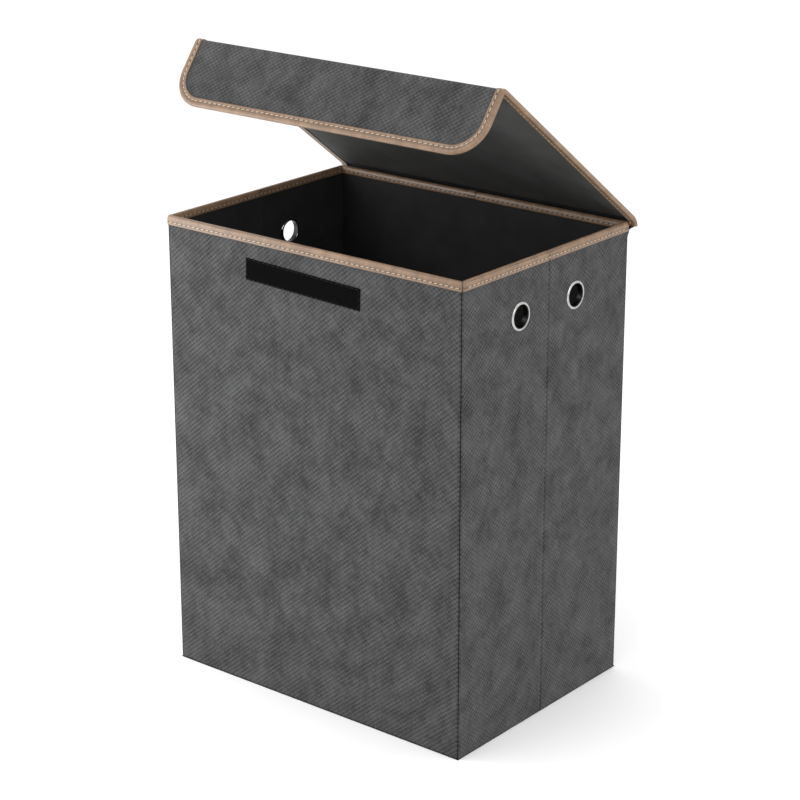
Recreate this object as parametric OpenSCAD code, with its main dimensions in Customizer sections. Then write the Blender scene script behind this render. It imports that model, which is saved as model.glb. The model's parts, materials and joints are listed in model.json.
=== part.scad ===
// Folding laundry hamper with a hinged, flap-fronted lid.
// The origin is the centre of the underside. Front is -Y, +Z is up, millimetres.
//
// Every wall is a board between an outer fabric and a lining. Front and back walls are full
// width; each side wall is two halves, creased down the middle, that fold inwards as the front
// wall moves back. The base is two boards that rise to a ridge as the sides fold.

/* [Body] */
// Width over the outer fabric
body_w = 400; // [360:5:480]
// Depth over the outer fabric
body_d = 290; // [240:5:320]
// Height of the rim
body_h = 522; // [440:2:600]
// Inset of the front and back walls from the faces of the side walls
corner_gap = 1.8; // [1:0.1:3]

/* [Layers] */
// Thickness of the outer fabric
fabric_t = 1; // [0.8:0.1:1.2]
// Thickness of the wall and base boards
board_t = 2.4; // [2:0.1:3]
// Thickness of the lining
lining_t = 0.6; // [0.4:0.1:0.8]
// Thickness of the board in the lid and flap
lid_board_t = 2; // [1.6:0.1:2.4]

/* [Rim binding] */
// Thickness of the binding round the rim
rim_t = 1.2; // [0.8:0.1:1.4]
// Height of the rim binding on the outside
rim_out_h = 10.5; // [8:0.5:16]
// Height of the rim binding on the inside
rim_in_h = 9; // [8:0.5:16]

/* [Lid] */
// Half the width of the lid over its bindings
lid_half_w = 205; // [203:0.5:210]
// Opening angle of the lid as modelled, 0 is closed
lid_open = 37; // [0:1:100]
// Distance of the lid's board from the flap's crease
fold_gap = 3.4; // [2:0.1:6]
// Thickness of the binding round the lid and flap
edge_t = 0.8; // [0.6:0.1:1]
// Width of that binding on each face
edge_w = 10; // [8:0.5:14]
// Length of the flap below the top of the closed lid
flap_l = 77; // [60:1:100]
// Radius of the flap's lower corners
flap_r = 38; // [20:1:50]

/* [Grommets] */
// Radius of the rope hole
hole_r = 12; // [8:0.5:13]
// Radius of the grommet's outer flange
flange_r = 15.5; // [15:0.5:18]
// Distance of each grommet from the side crease
grommet_y = 48; // [36:1:70]
// Height of the grommets below the rim
grommet_drop = 58.5; // [50:0.5:90]

/* [Fastener] */
// Length of the hook strip on the front wall
strip_l = 156; // [80:2:240]
// Height of the hook strip
strip_h = 24; // [15:1:30]
// Thickness of the hook strip, and of the loop strip that meets it
strip_t = 1; // [0.6:0.1:1]
// Distance of the strips' middle left of centre
strip_shift = 8; // [-20:1:20]
// Height of the hook strip's middle below the rim
strip_drop = 41; // [38:1:50]
// Slope of the strips in degrees, higher at the left
strip_tilt = 1.8; // [0:0.1:3]

/* [Hidden] */
$fn = 64;
SIDES = ["left", "right"];
HALVES = ["rear", "front"];

// Colours
FABRIC = "#5c5d5f";
BOARD = "#b79b74";
LINING = "#242526";
LEATHER = "#b0917a";
METAL = "#c9ccd0";
TAPE = "#141414";

// Clearances
slip = 0.3;           // between pieces that move past each other
crease = 0.2;         // from a crease line to the piece on each side of it
eps = 0.01;

// Walls
half_w = body_w / 2;
half_d = body_d / 2;
end_half_w = half_w - corner_gap;           // half the width of the front and back walls
wall_t = fabric_t + board_t + lining_t;
cloth_t = 0.8;
wall_z = cloth_t + slip;
wall_top = body_h - rim_t;
rim_gap = half_d - wall_t - rim_t - slip;   // where a side binding stops short of the end walls
side_end = half_d - wall_t - slip;          // where a side panel stops short of them

// Base
base_z = wall_z + 0.1;
base_axis_z = base_z + board_t + lining_t;
base_end = side_end;
base_axis_y = base_end + slip;
corner_axis_y = half_d - wall_t - 3;
corner_axis_x = half_w - wall_t - rim_t;
base_side_gap = 6;
base_half_w = corner_axis_x - base_side_gap;

// Lid, drawn closed and then swung open about its hinge
hinge_y = half_d + 2;
hinge_z = body_h - 3;
lid_t = lining_t + lid_board_t + fabric_t;
lid_z = body_h + slip + 0.1 + edge_t;
lid_top = lid_z + lid_t;
flap_in_y = -half_d - max(2 * strip_t, rim_t + edge_t) - slip;
flap_out_y = flap_in_y - lid_t;
fold_y = flap_out_y + fabric_t;             // crease axis of the flap
fold_z = lid_top - fabric_t;
lid_front = fold_y + crease;
lid_rear = hinge_y - 6;
flap_top = lid_z - edge_t - slip;

// Grommets
barrel_t = 0.8;
cut_r = hole_r + barrel_t + crease;
washer_r = flange_r - 0.5;
washer_t = 1;
grommet_z = body_h - grommet_drop;
dome_steps = 8;

module block(x, y, z) {
    translate([x[0], y[0], z[0]]) cube([x[1] - x[0], y[1] - y[0], z[1] - z[0]]);
}

// A bar along X or Y with an upside-down U section that sits over the top of a wall.
// low and high are the wall's inner and outer faces, and in_ends is the inner leg's span.
module rim_u(low, high, ends, in_ends, along) {
    module part(span, cross, z) {
        if (along == "x") block(span, cross, z);
        else block(cross, span, z);
    }
    part(ends, [low - rim_t, high + rim_t], [wall_top, body_h]);
    part(in_ends, [low - rim_t, low], [body_h - rim_in_h, wall_top + eps]);
    part(ends, [high, high + rim_t], [body_h - rim_out_h, wall_top + eps]);
}

// ---- Front and back walls, drawn as the back wall; the front wall is its mirror image ----

module end_wall(wall) {
    mirror([0, wall == "front" ? 1 : 0, 0]) children();
}

module end_outer_fabric(wall, z0) {
    color(FABRIC) end_wall(wall) {
        block([-end_half_w, end_half_w], [half_d - fabric_t, half_d], [z0, wall_top]);
        for (s = [0, 1]) mirror([s, 0, 0])
            block([end_half_w - fabric_t, end_half_w], [half_d - fabric_t - board_t, half_d],
                  [z0, wall_top]);
    }
}

module end_board(wall, z0) {
    color(BOARD) end_wall(wall)
        block([fabric_t - end_half_w, end_half_w - fabric_t],
              [half_d - fabric_t - board_t, half_d - fabric_t], [z0, wall_top]);
}

module end_lining(wall, z0) {
    color(LINING) end_wall(wall)
        block([-end_half_w, end_half_w], [half_d - wall_t, half_d - wall_t + lining_t],
              [z0, wall_top]);
}

module end_rim_binding(wall) {
    over_w = half_w + rim_t;
    between_w = half_w - wall_t - slip;
    color(LEATHER) end_wall(wall)
        rim_u(half_d - wall_t, half_d, [-over_w, over_w], [-between_w, between_w], "x");
}

// ---- Side walls, drawn as the right rear half and mirrored to the other three ----

module side_half(side, half) {
    mirror([side == "left" ? 1 : 0, 0, 0]) mirror([0, half == "front" ? 1 : 0, 0]) children();
}

module side_layer(side, half, x) {
    side_half(side, half) difference() {
        block(x, [crease, side_end], [wall_z, wall_top]);
        translate([x[0] - 1, grommet_y, grommet_z]) rotate([0, 90, 0])
            cylinder(r = cut_r, h = x[1] - x[0] + 2);
    }
}

module side_outer_fabric(side, half) {
    color(FABRIC) side_layer(side, half, [half_w - fabric_t, half_w]);
}

module side_board(side, half) {
    color(BOARD) side_layer(side, half, [half_w - fabric_t - board_t, half_w - fabric_t]);
}

module side_lining(side, half) {
    color(LINING) side_layer(side, half, [half_w - wall_t, half_w - wall_t + lining_t]);
}

module side_rim_binding(side, half) {
    color(LEATHER) side_half(side, half)
        rim_u(half_w - wall_t, half_w, [crease, rim_gap], [crease, rim_gap], "y");
}

// An eyelet: a barrel through the wall with a domed flange outside.
module side_grommet(side, half) {
    dome = [for (i = [0 : dome_steps])
        let (a = 180 * i / dome_steps, mid = (hole_r + flange_r) / 2, w = (flange_r - hole_r) / 2)
        [mid - w * cos(a), rim_t * (0.35 + 0.65 * sin(a))]];
    barrel = [[hole_r + barrel_t, 0], [hole_r + barrel_t, -wall_t - washer_t],
              [hole_r, -wall_t - washer_t]];
    color(METAL) side_half(side, half)
        translate([half_w, grommet_y, grommet_z]) rotate([0, 90, 0])
            rotate_extrude($fn = 96) polygon(concat(dome, [[flange_r, 0]], barrel));
}

module side_washer(side, half) {
    color(METAL) side_half(side, half)
        translate([half_w - wall_t - washer_t, grommet_y, grommet_z]) rotate([0, 90, 0])
            difference() {
                cylinder(r = washer_r, h = washer_t);
                translate([0, 0, -1]) cylinder(r = hole_r + barrel_t + 0.1, h = washer_t + 2);
            }
}

// ---- Base ----

module bottom_cloth() {
    color(FABRIC) block([-half_w, half_w], [-half_d, half_d], [0, cloth_t]);
}

// Half of the base: full width at the end wall, narrowing at 45 degrees to the ridge, so that
// the side walls can fold in over it.
module base_half(half, z) {
    ridge_half_w = base_half_w - (base_end - crease);
    mirror([0, half == "front" ? 1 : 0, 0]) translate([0, 0, z[0]])
        linear_extrude(z[1] - z[0])
            polygon([[-ridge_half_w, crease], [ridge_half_w, crease],
                     [base_half_w, base_end], [-base_half_w, base_end]]);
}

module base_board(half) {
    color(BOARD) base_half(half, [base_z, base_z + board_t]);
}

module base_lining(half) {
    color(LINING) base_half(half, [base_z + board_t, base_axis_z]);
}

// ---- Lid ----

module swing_lid() {
    translate([0, hinge_y, hinge_z]) rotate([-lid_open, 0, 0])
        translate([0, -hinge_y, -hinge_z]) children();
}

module lid_layer(z, front = lid_front) {
    inner = lid_half_w - edge_t;
    swing_lid() block([-inner, inner], [front, lid_rear], z);
}

module lid_lining() {
    color(LINING) lid_layer([lid_z, lid_z + lining_t]);
}

module lid_board() {
    color(BOARD) lid_layer([lid_z + lining_t, lid_top - fabric_t], fold_y + fold_gap);
}

module lid_outer_fabric() {
    color(FABRIC) lid_layer([lid_top - fabric_t, lid_top]);
}

// A channel along one side edge of the lid.
module lid_edge_binding(side) {
    color(LEATHER) swing_lid() mirror([side == "left" ? 1 : 0, 0, 0])
        difference() {
            block([lid_half_w - edge_w, lid_half_w], [lid_front, lid_rear],
                  [lid_z - edge_t, lid_top + edge_t]);
            block([lid_half_w - edge_w - 1, lid_half_w - edge_t], [lid_front - 1, lid_rear + 1],
                  [lid_z, lid_top]);
        }
}

// Soft strip that joins the lid to the back rim: up the outside of the rim binding, then out
// and forwards along the lid's own slope.
module lid_hinge_strip() {
    strip = fabric_t + lining_t - 0.2;
    wall = half_d + rim_t;
    low = [lid_rear + slip, lid_z + (lid_t - strip) / 2];
    high = [low[0], low[1] + strip];
    function swung(p) = [
        hinge_y + (p[0] - hinge_y) * cos(lid_open) + (p[1] - hinge_z) * sin(lid_open),
        hinge_z - (p[0] - hinge_y) * sin(lid_open) + (p[1] - hinge_z) * cos(lid_open)];
    back = [hinge_y, low[1]];
    color(FABRIC) translate([-half_w + 4, 0, 0]) rotate([90, 0, 90]) linear_extrude(body_w - 8)
        polygon([[wall, body_h - rim_out_h], [wall, body_h - 4], swung(back), swung(low),
                 swung(high), swung(back + [0.4, strip]), [wall + strip, body_h - 4],
                 [wall + strip, body_h - rim_out_h]]);
}

// ---- Flap, drawn hanging in front of the closed lid ----

// The flap's outline in X and Z, drawn in by inset along its sides and lower edge.
module flap_outline(inset) {
    w = lid_half_w - inset;
    low = lid_top - flap_l + inset;
    r = flap_r - inset;
    translate([-w, low + r]) square([2 * w, flap_top - low - r]);
    intersection() {
        union() {
            translate([r - w, low]) square([2 * (w - r), r + eps]);
            for (s = [-1, 1]) translate([s * (w - r), low + r]) circle(r = r, $fn = 96);
        }
        translate([-w, low]) square([2 * w, r + eps]);
    }
}

// Slab of an outline between two values of Y.
module flap_slab(y) {
    translate([0, y[1], 0]) rotate([90, 0, 0]) linear_extrude(y[1] - y[0]) children();
}

module flap_lining() {
    color(LINING) swing_lid() flap_slab([flap_in_y - lining_t, flap_in_y]) flap_outline(edge_t);
}

module flap_board() {
    color(BOARD) swing_lid()
        flap_slab([flap_out_y + fabric_t, flap_in_y - lining_t]) flap_outline(edge_t);
}

module flap_outer_fabric() {
    color(FABRIC) swing_lid() flap_slab([flap_out_y, flap_out_y + fabric_t]) flap_outline(edge_t);
}

module flap_binding() {
    color(LEATHER) swing_lid() difference() {
        flap_slab([flap_out_y - edge_t, flap_in_y + edge_t]) difference() {
            flap_outline(0);
            flap_outline(edge_w);
            translate([edge_w - lid_half_w, flap_top - 1])
                square([2 * (lid_half_w - edge_w), 2]);
        }
        flap_slab([flap_out_y, flap_in_y]) union() {
            flap_outline(edge_t);
            translate([edge_t - lid_half_w, flap_top - 1])
                square([2 * (lid_half_w - edge_t), 2]);
        }
    }
}

// ---- Hook-and-loop fastener ----

module strip(y) {
    translate([-strip_shift, 0, body_h - strip_drop]) rotate([0, strip_tilt, 0])
        block([-strip_l / 2, strip_l / 2], y, [-strip_h / 2, strip_h / 2]);
}

module front_hook_strip() {
    color(TAPE) strip([-half_d - strip_t, -half_d]);
}

module flap_loop_strip() {
    color(TAPE) swing_lid() strip([flap_in_y, flap_in_y + strip_t]);
}

// ---- The model ----

for (wall = ["back", "front"]) {
    z0 = wall == "back" ? cloth_t : wall_z;
    end_outer_fabric(wall, z0);
    end_board(wall, z0);
    end_lining(wall, z0);
    end_rim_binding(wall);
}
for (side = SIDES, half = HALVES) {
    place = str(side, "_", half);
    side_outer_fabric(side, half);
    side_board(side, half);
    side_lining(side, half);
    side_rim_binding(side, half);
    side_grommet(side, half);
    side_washer(side, half);
}
for (half = HALVES) {
    base_board(half);
    base_lining(half);
}
bottom_cloth();
front_hook_strip();
lid_hinge_strip();
lid_board();
lid_outer_fabric();
lid_lining();
lid_edge_binding("left");  // lid_left_binding
lid_edge_binding("right");  // lid_right_binding
flap_board();
flap_outer_fabric();
flap_lining();
flap_binding();
flap_loop_strip();
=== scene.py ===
"""Folding laundry hamper with a fabric-hinged, flap-fronted lid.

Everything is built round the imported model's frame. Shapes are worked out in millimetres and
turned into metres where a mesh is made. Front is -Y, +Z is up.
"""
import json
import math

import bmesh
import bpy
import numpy as np
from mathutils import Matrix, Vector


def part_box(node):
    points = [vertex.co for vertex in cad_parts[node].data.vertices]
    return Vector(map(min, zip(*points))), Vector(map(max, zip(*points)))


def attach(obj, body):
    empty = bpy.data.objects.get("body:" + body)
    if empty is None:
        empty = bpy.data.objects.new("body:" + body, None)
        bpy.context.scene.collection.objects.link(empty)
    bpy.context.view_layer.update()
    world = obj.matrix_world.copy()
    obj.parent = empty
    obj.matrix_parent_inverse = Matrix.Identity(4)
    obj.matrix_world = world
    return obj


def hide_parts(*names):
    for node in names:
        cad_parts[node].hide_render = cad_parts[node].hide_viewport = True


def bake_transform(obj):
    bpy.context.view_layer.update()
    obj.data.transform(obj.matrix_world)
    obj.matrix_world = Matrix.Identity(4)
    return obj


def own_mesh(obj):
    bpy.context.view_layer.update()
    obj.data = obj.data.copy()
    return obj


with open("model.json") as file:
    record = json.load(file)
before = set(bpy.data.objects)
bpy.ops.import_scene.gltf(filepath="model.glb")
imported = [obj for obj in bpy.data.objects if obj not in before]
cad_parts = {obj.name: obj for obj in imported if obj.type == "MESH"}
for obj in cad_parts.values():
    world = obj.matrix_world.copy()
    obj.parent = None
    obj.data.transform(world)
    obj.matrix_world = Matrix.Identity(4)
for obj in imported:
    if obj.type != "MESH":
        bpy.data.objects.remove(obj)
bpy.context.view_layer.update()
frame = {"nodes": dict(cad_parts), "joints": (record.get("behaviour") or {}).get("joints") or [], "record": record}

MM = 0.001
CLOTH_UV = "cloth"      # UV layer: place on the flat cloth, in metres
SIDES = {"left": -1, "right": 1}
ENDS = {"front": -1, "back": 1}
HALVES = {"rear": 1, "front": -1}


# ---- Sizes from the frame ----

def box_mm(node):
    low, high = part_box(node)
    return np.array(low) / MM, np.array(high) / MM


def joint(name):
    return next(j for j in frame["joints"] if j["name"] == name)


HINGE_Y, HINGE_Z = np.array(joint("lid_hinge")["pos_m"])[1:] / MM
LID_OPEN = -math.radians(joint("lid_hinge")["range_deg"][0])


def swing(points, angle):
    """Points turned about the lid's hinge; a positive angle opens the lid."""
    turned = np.array(points, float)
    y, z = turned[..., 1] - HINGE_Y, turned[..., 2] - HINGE_Z
    turned[..., 1] = HINGE_Y + y * math.cos(angle) + z * math.sin(angle)
    turned[..., 2] = HINGE_Z - y * math.sin(angle) + z * math.cos(angle)
    return turned


def closed_box(node):
    """Box of one of the lid's nodes as it would be with the lid closed."""
    points = np.array([v.co for v in frame["nodes"][node].data.vertices]) / MM
    points = swing(points, -LID_OPEN)
    return points.min(0), points.max(0)


HALF_W = box_mm("right_rear_outer_fabric")[1][0]
END_HALF_W, HALF_D, WALL_TOP = box_mm("back_outer_fabric")[1]
RIM_OUT, RIM_TOP = box_mm("back_rim_binding")[1][1:]
RIM_LOW = box_mm("right_rear_rim_binding")[0][2]
RIM_T = RIM_OUT - HALF_D
WALL_IN = box_mm("right_rear_lining")[0][0]
WALL_T = HALF_W - WALL_IN
RIM_IN_Y = HALF_D - WALL_T - RIM_T      # inner face of the end walls' rim tape
FABRIC_IN, _, SIDE_LOW = box_mm("right_rear_outer_fabric")[0]
FABRIC_T = HALF_W - FABRIC_IN
LINING_T = box_mm("right_rear_lining")[1][0] - WALL_IN
CLOTH_T = box_mm("bottom_cloth")[1][2]
GROMMET_LOW, GROMMET_HIGH = box_mm("right_rear_grommet")
GROMMET_Y, GROMMET_Z = (GROMMET_LOW[1:] + GROMMET_HIGH[1:]) / 2
FLANGE_R = (GROMMET_HIGH[2] - GROMMET_LOW[2]) / 2
FLANGE_OUT = GROMMET_HIGH[0]
BARREL_IN = GROMMET_LOW[0]
HOLE_R = next(m for m in frame["record"]["mounts"] if m["kind"] == "bore")["dims"]["r_mm"]

LID_REAR, LID_TOP = closed_box("lid_outer_fabric")[1][1:]
LID_T = LID_TOP - closed_box("lid_lining")[0][2]
LID_HALF_W = closed_box("flap_binding")[1][0]
FLAP_FRONT = closed_box("flap_outer_fabric")[0][1]
EDGE_FRONT, FLAP_LOW = closed_box("flap_binding")[0][1:]
EDGE_T = FLAP_FRONT - EDGE_FRONT

# Shapes that the solids leave out
FLAP_R = 38.0           # radius of the flap's lower corners
FOLD_R = 4.8            # outer radius of the rounded fold between lid and flap
EDGE_W = 10.0           # width of the lid's binding on each face
RIM_H_IN = 9.0          # height of the rim binding inside
RIPPLE = 0.45           # unevenness of the outer fabric over a board
BOW = 0.35              # unevenness of a lining over a board
HEM_R = 0.8             # radius of a cloth's turned lower edge
TUCK = 0.05             # small overlap that keeps two faces from lying in one plane
CLOTH_HOLE_R = HOLE_R + 1.5     # hole in the cloth, hidden under a grommet's flange
GRID = 5.0              # usual spacing of a sheet's grid lines
HEM_LINES = (0.3, 0.8, 1.5, 3)  # extra grid lines above a lower edge
HOLE_NEAR, HOLE_FAR = 10.0, 20.0    # half sides of the squares of grid that open into a round hole

STITCH_PITCH = 6.7
STITCH_LEN = 4.7
STITCH_W = 0.95
STITCH_H = 0.4
STITCH_RINGS, STITCH_SIDES = 7, 8
STITCH_SINK = 0.14      # depth of the rim's stitches below the tape's face
EDGE_SINK = 0.12        # the same for the lid's tape
RIM_STITCH = 3.6        # distance of the stitches from a tape's raw edge
LID_STITCH = EDGE_W - RIM_STITCH


# ---- Mesh helpers ----

def at(*parts):
    """Points, or places on the flat cloth, from coordinates that broadcast together."""
    return np.stack(np.broadcast_arrays(*parts), -1)


def add_object(name, data):
    obj = bpy.data.objects.new(name, data)
    bpy.context.scene.collection.objects.link(obj)
    return obj


def add_mesh(name, points, faces, flat, sharp=35):
    """A mesh object from points in millimetres, with the cloth's flat coordinates as its UV map."""
    used, faces_at = np.unique(np.concatenate([np.ravel(f) for f in faces]), return_inverse=True)
    sizes = [len(f) for f in faces]
    new_faces = np.split(faces_at, np.cumsum(sizes)[:-1])
    mesh = bpy.data.meshes.new(name)
    points, flat = np.reshape(points, (-1, 3))[used], np.reshape(flat, (-1, 2))[used]
    mesh.from_pydata((points * MM).tolist(), [], [f.tolist() for f in new_faces])
    layer = mesh.uv_layers.new(name=CLOTH_UV)
    corner = np.empty(len(mesh.loops), np.int32)
    mesh.loops.foreach_get("vertex_index", corner)
    layer.data.foreach_set("uv", (flat[corner] * MM).astype(np.float32).ravel())
    work = bmesh.new()
    work.from_mesh(mesh)
    bmesh.ops.recalc_face_normals(work, faces=work.faces)
    work.to_mesh(mesh)
    work.free()
    mesh.shade_smooth()
    mesh.set_sharp_from_angle(angle=math.radians(sharp))
    return add_object(name, mesh)


def quads(index):
    """Four-sided faces between the rows and columns of a grid of point numbers."""
    return np.stack([index[:-1, :-1], index[1:, :-1], index[1:, 1:], index[:-1, 1:]], -1)


def shell(name, outer, inner, flat, keep=None, sharp=35):
    """A closed sheet between two grids of points, with its edges and holes closed."""
    rows, cols = flat.shape[:2]
    count = rows * cols
    faces = quads(np.arange(count).reshape(rows, cols))
    faces = faces.reshape(-1, 4) if keep is None else faces[keep]
    edges = np.concatenate([faces[:, [i, (i + 1) % 4]] for i in range(4)])
    key, first, uses = np.unique(np.sort(edges, 1), axis=0, return_index=True, return_counts=True)
    rim = edges[first[uses == 1]]
    sides = np.stack([rim[:, 1], rim[:, 0], rim[:, 0] + count, rim[:, 1] + count], -1)
    faces = np.concatenate([faces, faces[:, ::-1] + count, sides])
    return add_mesh(name, [outer, inner], faces, [flat, flat], sharp)


def tube_faces(stations, around, closed=False):
    """Faces of a tube through rings of points, capped at its ends or joined up."""
    index = np.arange(stations * around).reshape(stations, around)
    wrapped = np.column_stack([index, index[:, 0]])
    if closed:
        return list(quads(np.vstack([wrapped, wrapped[:1]])).reshape(-1, 4))
    return [*quads(wrapped).reshape(-1, 4), index[0], index[-1]]


def tube(name, rings, flat, sharp=40, closed=False):
    return add_mesh(name, rings, tube_faces(*rings.shape[:2], closed), flat, sharp)


def many_tubes(name, rings, flat):
    """One mesh of many small tubes, each a row of rings."""
    count, stations, around = rings.shape[:3]
    one = tube_faces(stations, around)
    faces = [face + i * stations * around for i in range(count) for face in one]
    return add_mesh(name, rings, faces, flat, 60)


def stops(low, high, step, fixed=()):
    """Rising positions from low to high that include the fixed ones, at most step apart."""
    marks = sorted({low, high, *[f for f in fixed if low < f < high]})
    filled = [np.linspace(a, b, max(2, math.ceil((b - a) / step) + 1))[:-1]
              for a, b in zip(marks, marks[1:])]
    return np.concatenate([*filled, [high]])


def grid(rows, cols):
    return np.meshgrid(rows, cols, indexing="ij")


def mirrored(values):
    return [sign * value for sign in (-1, 1) for value in values]


def run_length(points):
    """Length along a line of points, from its first one."""
    steps = np.linalg.norm(np.diff(points, axis=0), axis=1)
    return np.concatenate([[0], np.cumsum(steps)])


def smooth(t):
    t = np.clip(t, 0, 1)
    return t * t * (3 - 2 * t)


def bell(x, width):
    return np.exp(-(x / width) ** 2)


def ripple(u, v, seed):
    """Soft unevenness of cloth, from 0 to 1."""
    waves = (np.sin(u / 41 + seed) * np.sin(v / 67 + 2 * seed)
             + 0.6 * np.sin(u / 23 - v / 37 + 3 * seed)
             + 0.4 * np.sin(u / 13 + v / 19 + seed))
    return 0.5 + waves / 4


def rounding(distance, radius):
    """How far a rounded edge falls back, at a distance from the edge."""
    short = np.clip(radius - distance, 0, radius)
    return radius - np.sqrt(radius ** 2 - short ** 2)


# ---- Materials ----

def grey(value):
    return (value, value, value)


class Look:
    """A material in the making, with short names for the nodes it is built from."""

    def __init__(self, name):
        self.material = bpy.data.materials.new(name)
        self.material.use_nodes = True
        self.tree = self.material.node_tree
        self.shader = self.tree.nodes["Principled BSDF"]

    def feed(self, socket, value):
        """Links a socket to another node's output, or sets it to a plain value or colour."""
        if isinstance(value, bpy.types.NodeSocket):
            self.tree.links.new(value, socket)
        else:
            socket.default_value = (*value, 1) if socket.type == "RGBA" else value

    def node(self, kind, inputs=None, **settings):
        made = self.tree.nodes.new("ShaderNode" + kind)
        for key, value in settings.items():
            setattr(made, key, value)
        for key, value in (inputs or {}).items():
            self.feed(made.inputs[key], value)
        return made

    def set(self, name, value):
        self.feed(self.shader.inputs[name], value)

    def calc(self, operation, *values):
        return self.node("Math", dict(enumerate(values)), operation=operation).outputs[0]

    def times(self, a, b):
        return self.calc("MULTIPLY", a, b)

    def times_plus(self, a, b, c):
        """a times b, plus c."""
        return self.calc("MULTIPLY_ADD", a, b, c)

    def wave(self, value, length):
        return self.calc("COSINE", self.times(value, 2 * math.pi / length))

    def blend(self, factor, low, high):
        """A colour between two others."""
        return self.node("Mix", {0: factor, 6: low, 7: high}, data_type="RGBA").outputs[2]

    def spread(self, value, to_low=0.0, to_high=1.0, low=0.3, high=0.7):
        """The value, with its stretch from low to high spread out from to_low to to_high."""
        inputs = {"Value": value, "From Min": low, "From Max": high, "To Min": to_low, "To Max": to_high}
        return self.node("MapRange", inputs).outputs["Result"]

    def noise(self, where, per_metre, detail=3.0, stretch=None, rough=0.55):
        if stretch:
            where = self.node("Mapping", {"Vector": where, "Scale": stretch}).outputs[0]
        inputs = {"Vector": where, "Scale": per_metre, "Detail": detail, "Roughness": rough}
        return self.node("TexNoise", inputs).outputs["Fac"]

    def bump(self, height, distance, strength=1.0):
        inputs = {"Height": height, "Distance": distance, "Strength": strength}
        self.set("Normal", self.node("Bump", inputs).outputs[0])

    def finish(self, colour, roughness, specular=0.5):
        self.set("Base Color", colour)
        self.set("Roughness", roughness)
        self.set("Specular IOR Level", specular)
        return self.material

    def on_cloth(self):
        return self.node("UVMap", uv_map=CLOTH_UV).outputs["UV"]

    def on_object(self):
        return self.node("TexCoord").outputs["Object"]

    def split(self, where):
        return self.node("SeparateXYZ", {"Vector": where}).outputs[:2]

    def lattice(self, where, across, up, wander, ridge=0.3):
        """Embossed weave: diagonal ridges with staggered pits between them, up to 1 + ridge each way."""
        drift = self.times_plus(self.noise(where, 90, 2), wander, -wander / 2)
        u, v = self.split(where)
        u, v = self.calc("ADD", u, drift), self.calc("SUBTRACT", v, drift)
        check = self.times(self.wave(u, across), self.wave(v, up))
        slope = self.times_plus(u, up / across, v)
        return self.times_plus(self.wave(slope, up), ridge, check)


def make_fabric():
    """Charcoal non-woven with a diagonal emboss, loose fibres and a cloudy, mottled colour; the emboss's pits
    carry painted shade and its crests and fibres a painted highlight.
    """
    look = Look("charcoal_fabric")
    where = look.on_cloth()
    depth = look.spread(look.noise(where, 75, 2), 0.35, 1.35, 0.32, 0.68)
    emboss = look.lattice(where, across=0.0064, up=0.0053, wander=0.0026, ridge=0.42)
    weave = look.times(emboss, depth)
    clouds = look.noise(where, 30, 6, stretch=(1.0, 0.72, 1.0), rough=0.68)
    patches = look.noise(where, 110, 3, stretch=(1.0, 0.85, 1.0))
    fuzz = look.noise(where, 1500, 2)
    fibres = look.noise(where, 420, 3, stretch=(1.0, 0.45, 1.0))
    tone = look.calc("ADD", look.spread(clouds, -0.17, 0.75, 0.34, 0.66), look.spread(patches, 0.0, 0.42))
    cloth = look.blend(tone, (0.0225, 0.0226, 0.0233), (0.070, 0.0701, 0.0721))
    loose = look.times_plus(fibres, 2.2, look.calc("ADD", weave, -1.1))
    # painted shade: the emboss's pits are coloured darker, where shade falls in them
    pits = look.spread(loose, 0.62, 0.0, -1.7, 0.3)
    dark = look.blend(pits, cloth, (0.010, 0.010, 0.0106))
    # painted highlight: the crests and loose fibres are coloured lighter, as if catching the light
    crest = look.times(look.spread(loose, 0.0, 0.52, 0.3, 1.8), fuzz)
    look.bump(look.times_plus(fuzz, 0.6, loose), 0.00022)
    look.set("Sheen Weight", 0.05)
    return look.finish(look.blend(crest, dark, (0.140, 0.1405, 0.144)),
                       look.spread(weave, 0.92, 0.72, -1.5, 1.5), 0.26)


def make_lining(name, low, high):
    """Thin near-black non-woven with a point-bonded grid and faint wrinkling."""
    look = Look(name)
    where = look.on_cloth()
    dots = look.lattice(where, across=0.0016, up=0.0016, wander=0.0003)
    fibres = look.noise(where, 900, 4, stretch=(1.0, 0.3, 1.0))
    clouds = look.noise(where, 22, 4)
    tone = look.times_plus(fibres, 0.4, look.times(clouds, 0.6))
    look.bump(look.times_plus(dots, 0.25, look.times_plus(clouds, 6.0, fibres)), 0.00012)
    colour = look.blend(look.spread(tone, low=0.35, high=0.65), low, high)
    return look.finish(colour, look.spread(fibres, 0.72, 0.88), 0.3)


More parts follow.
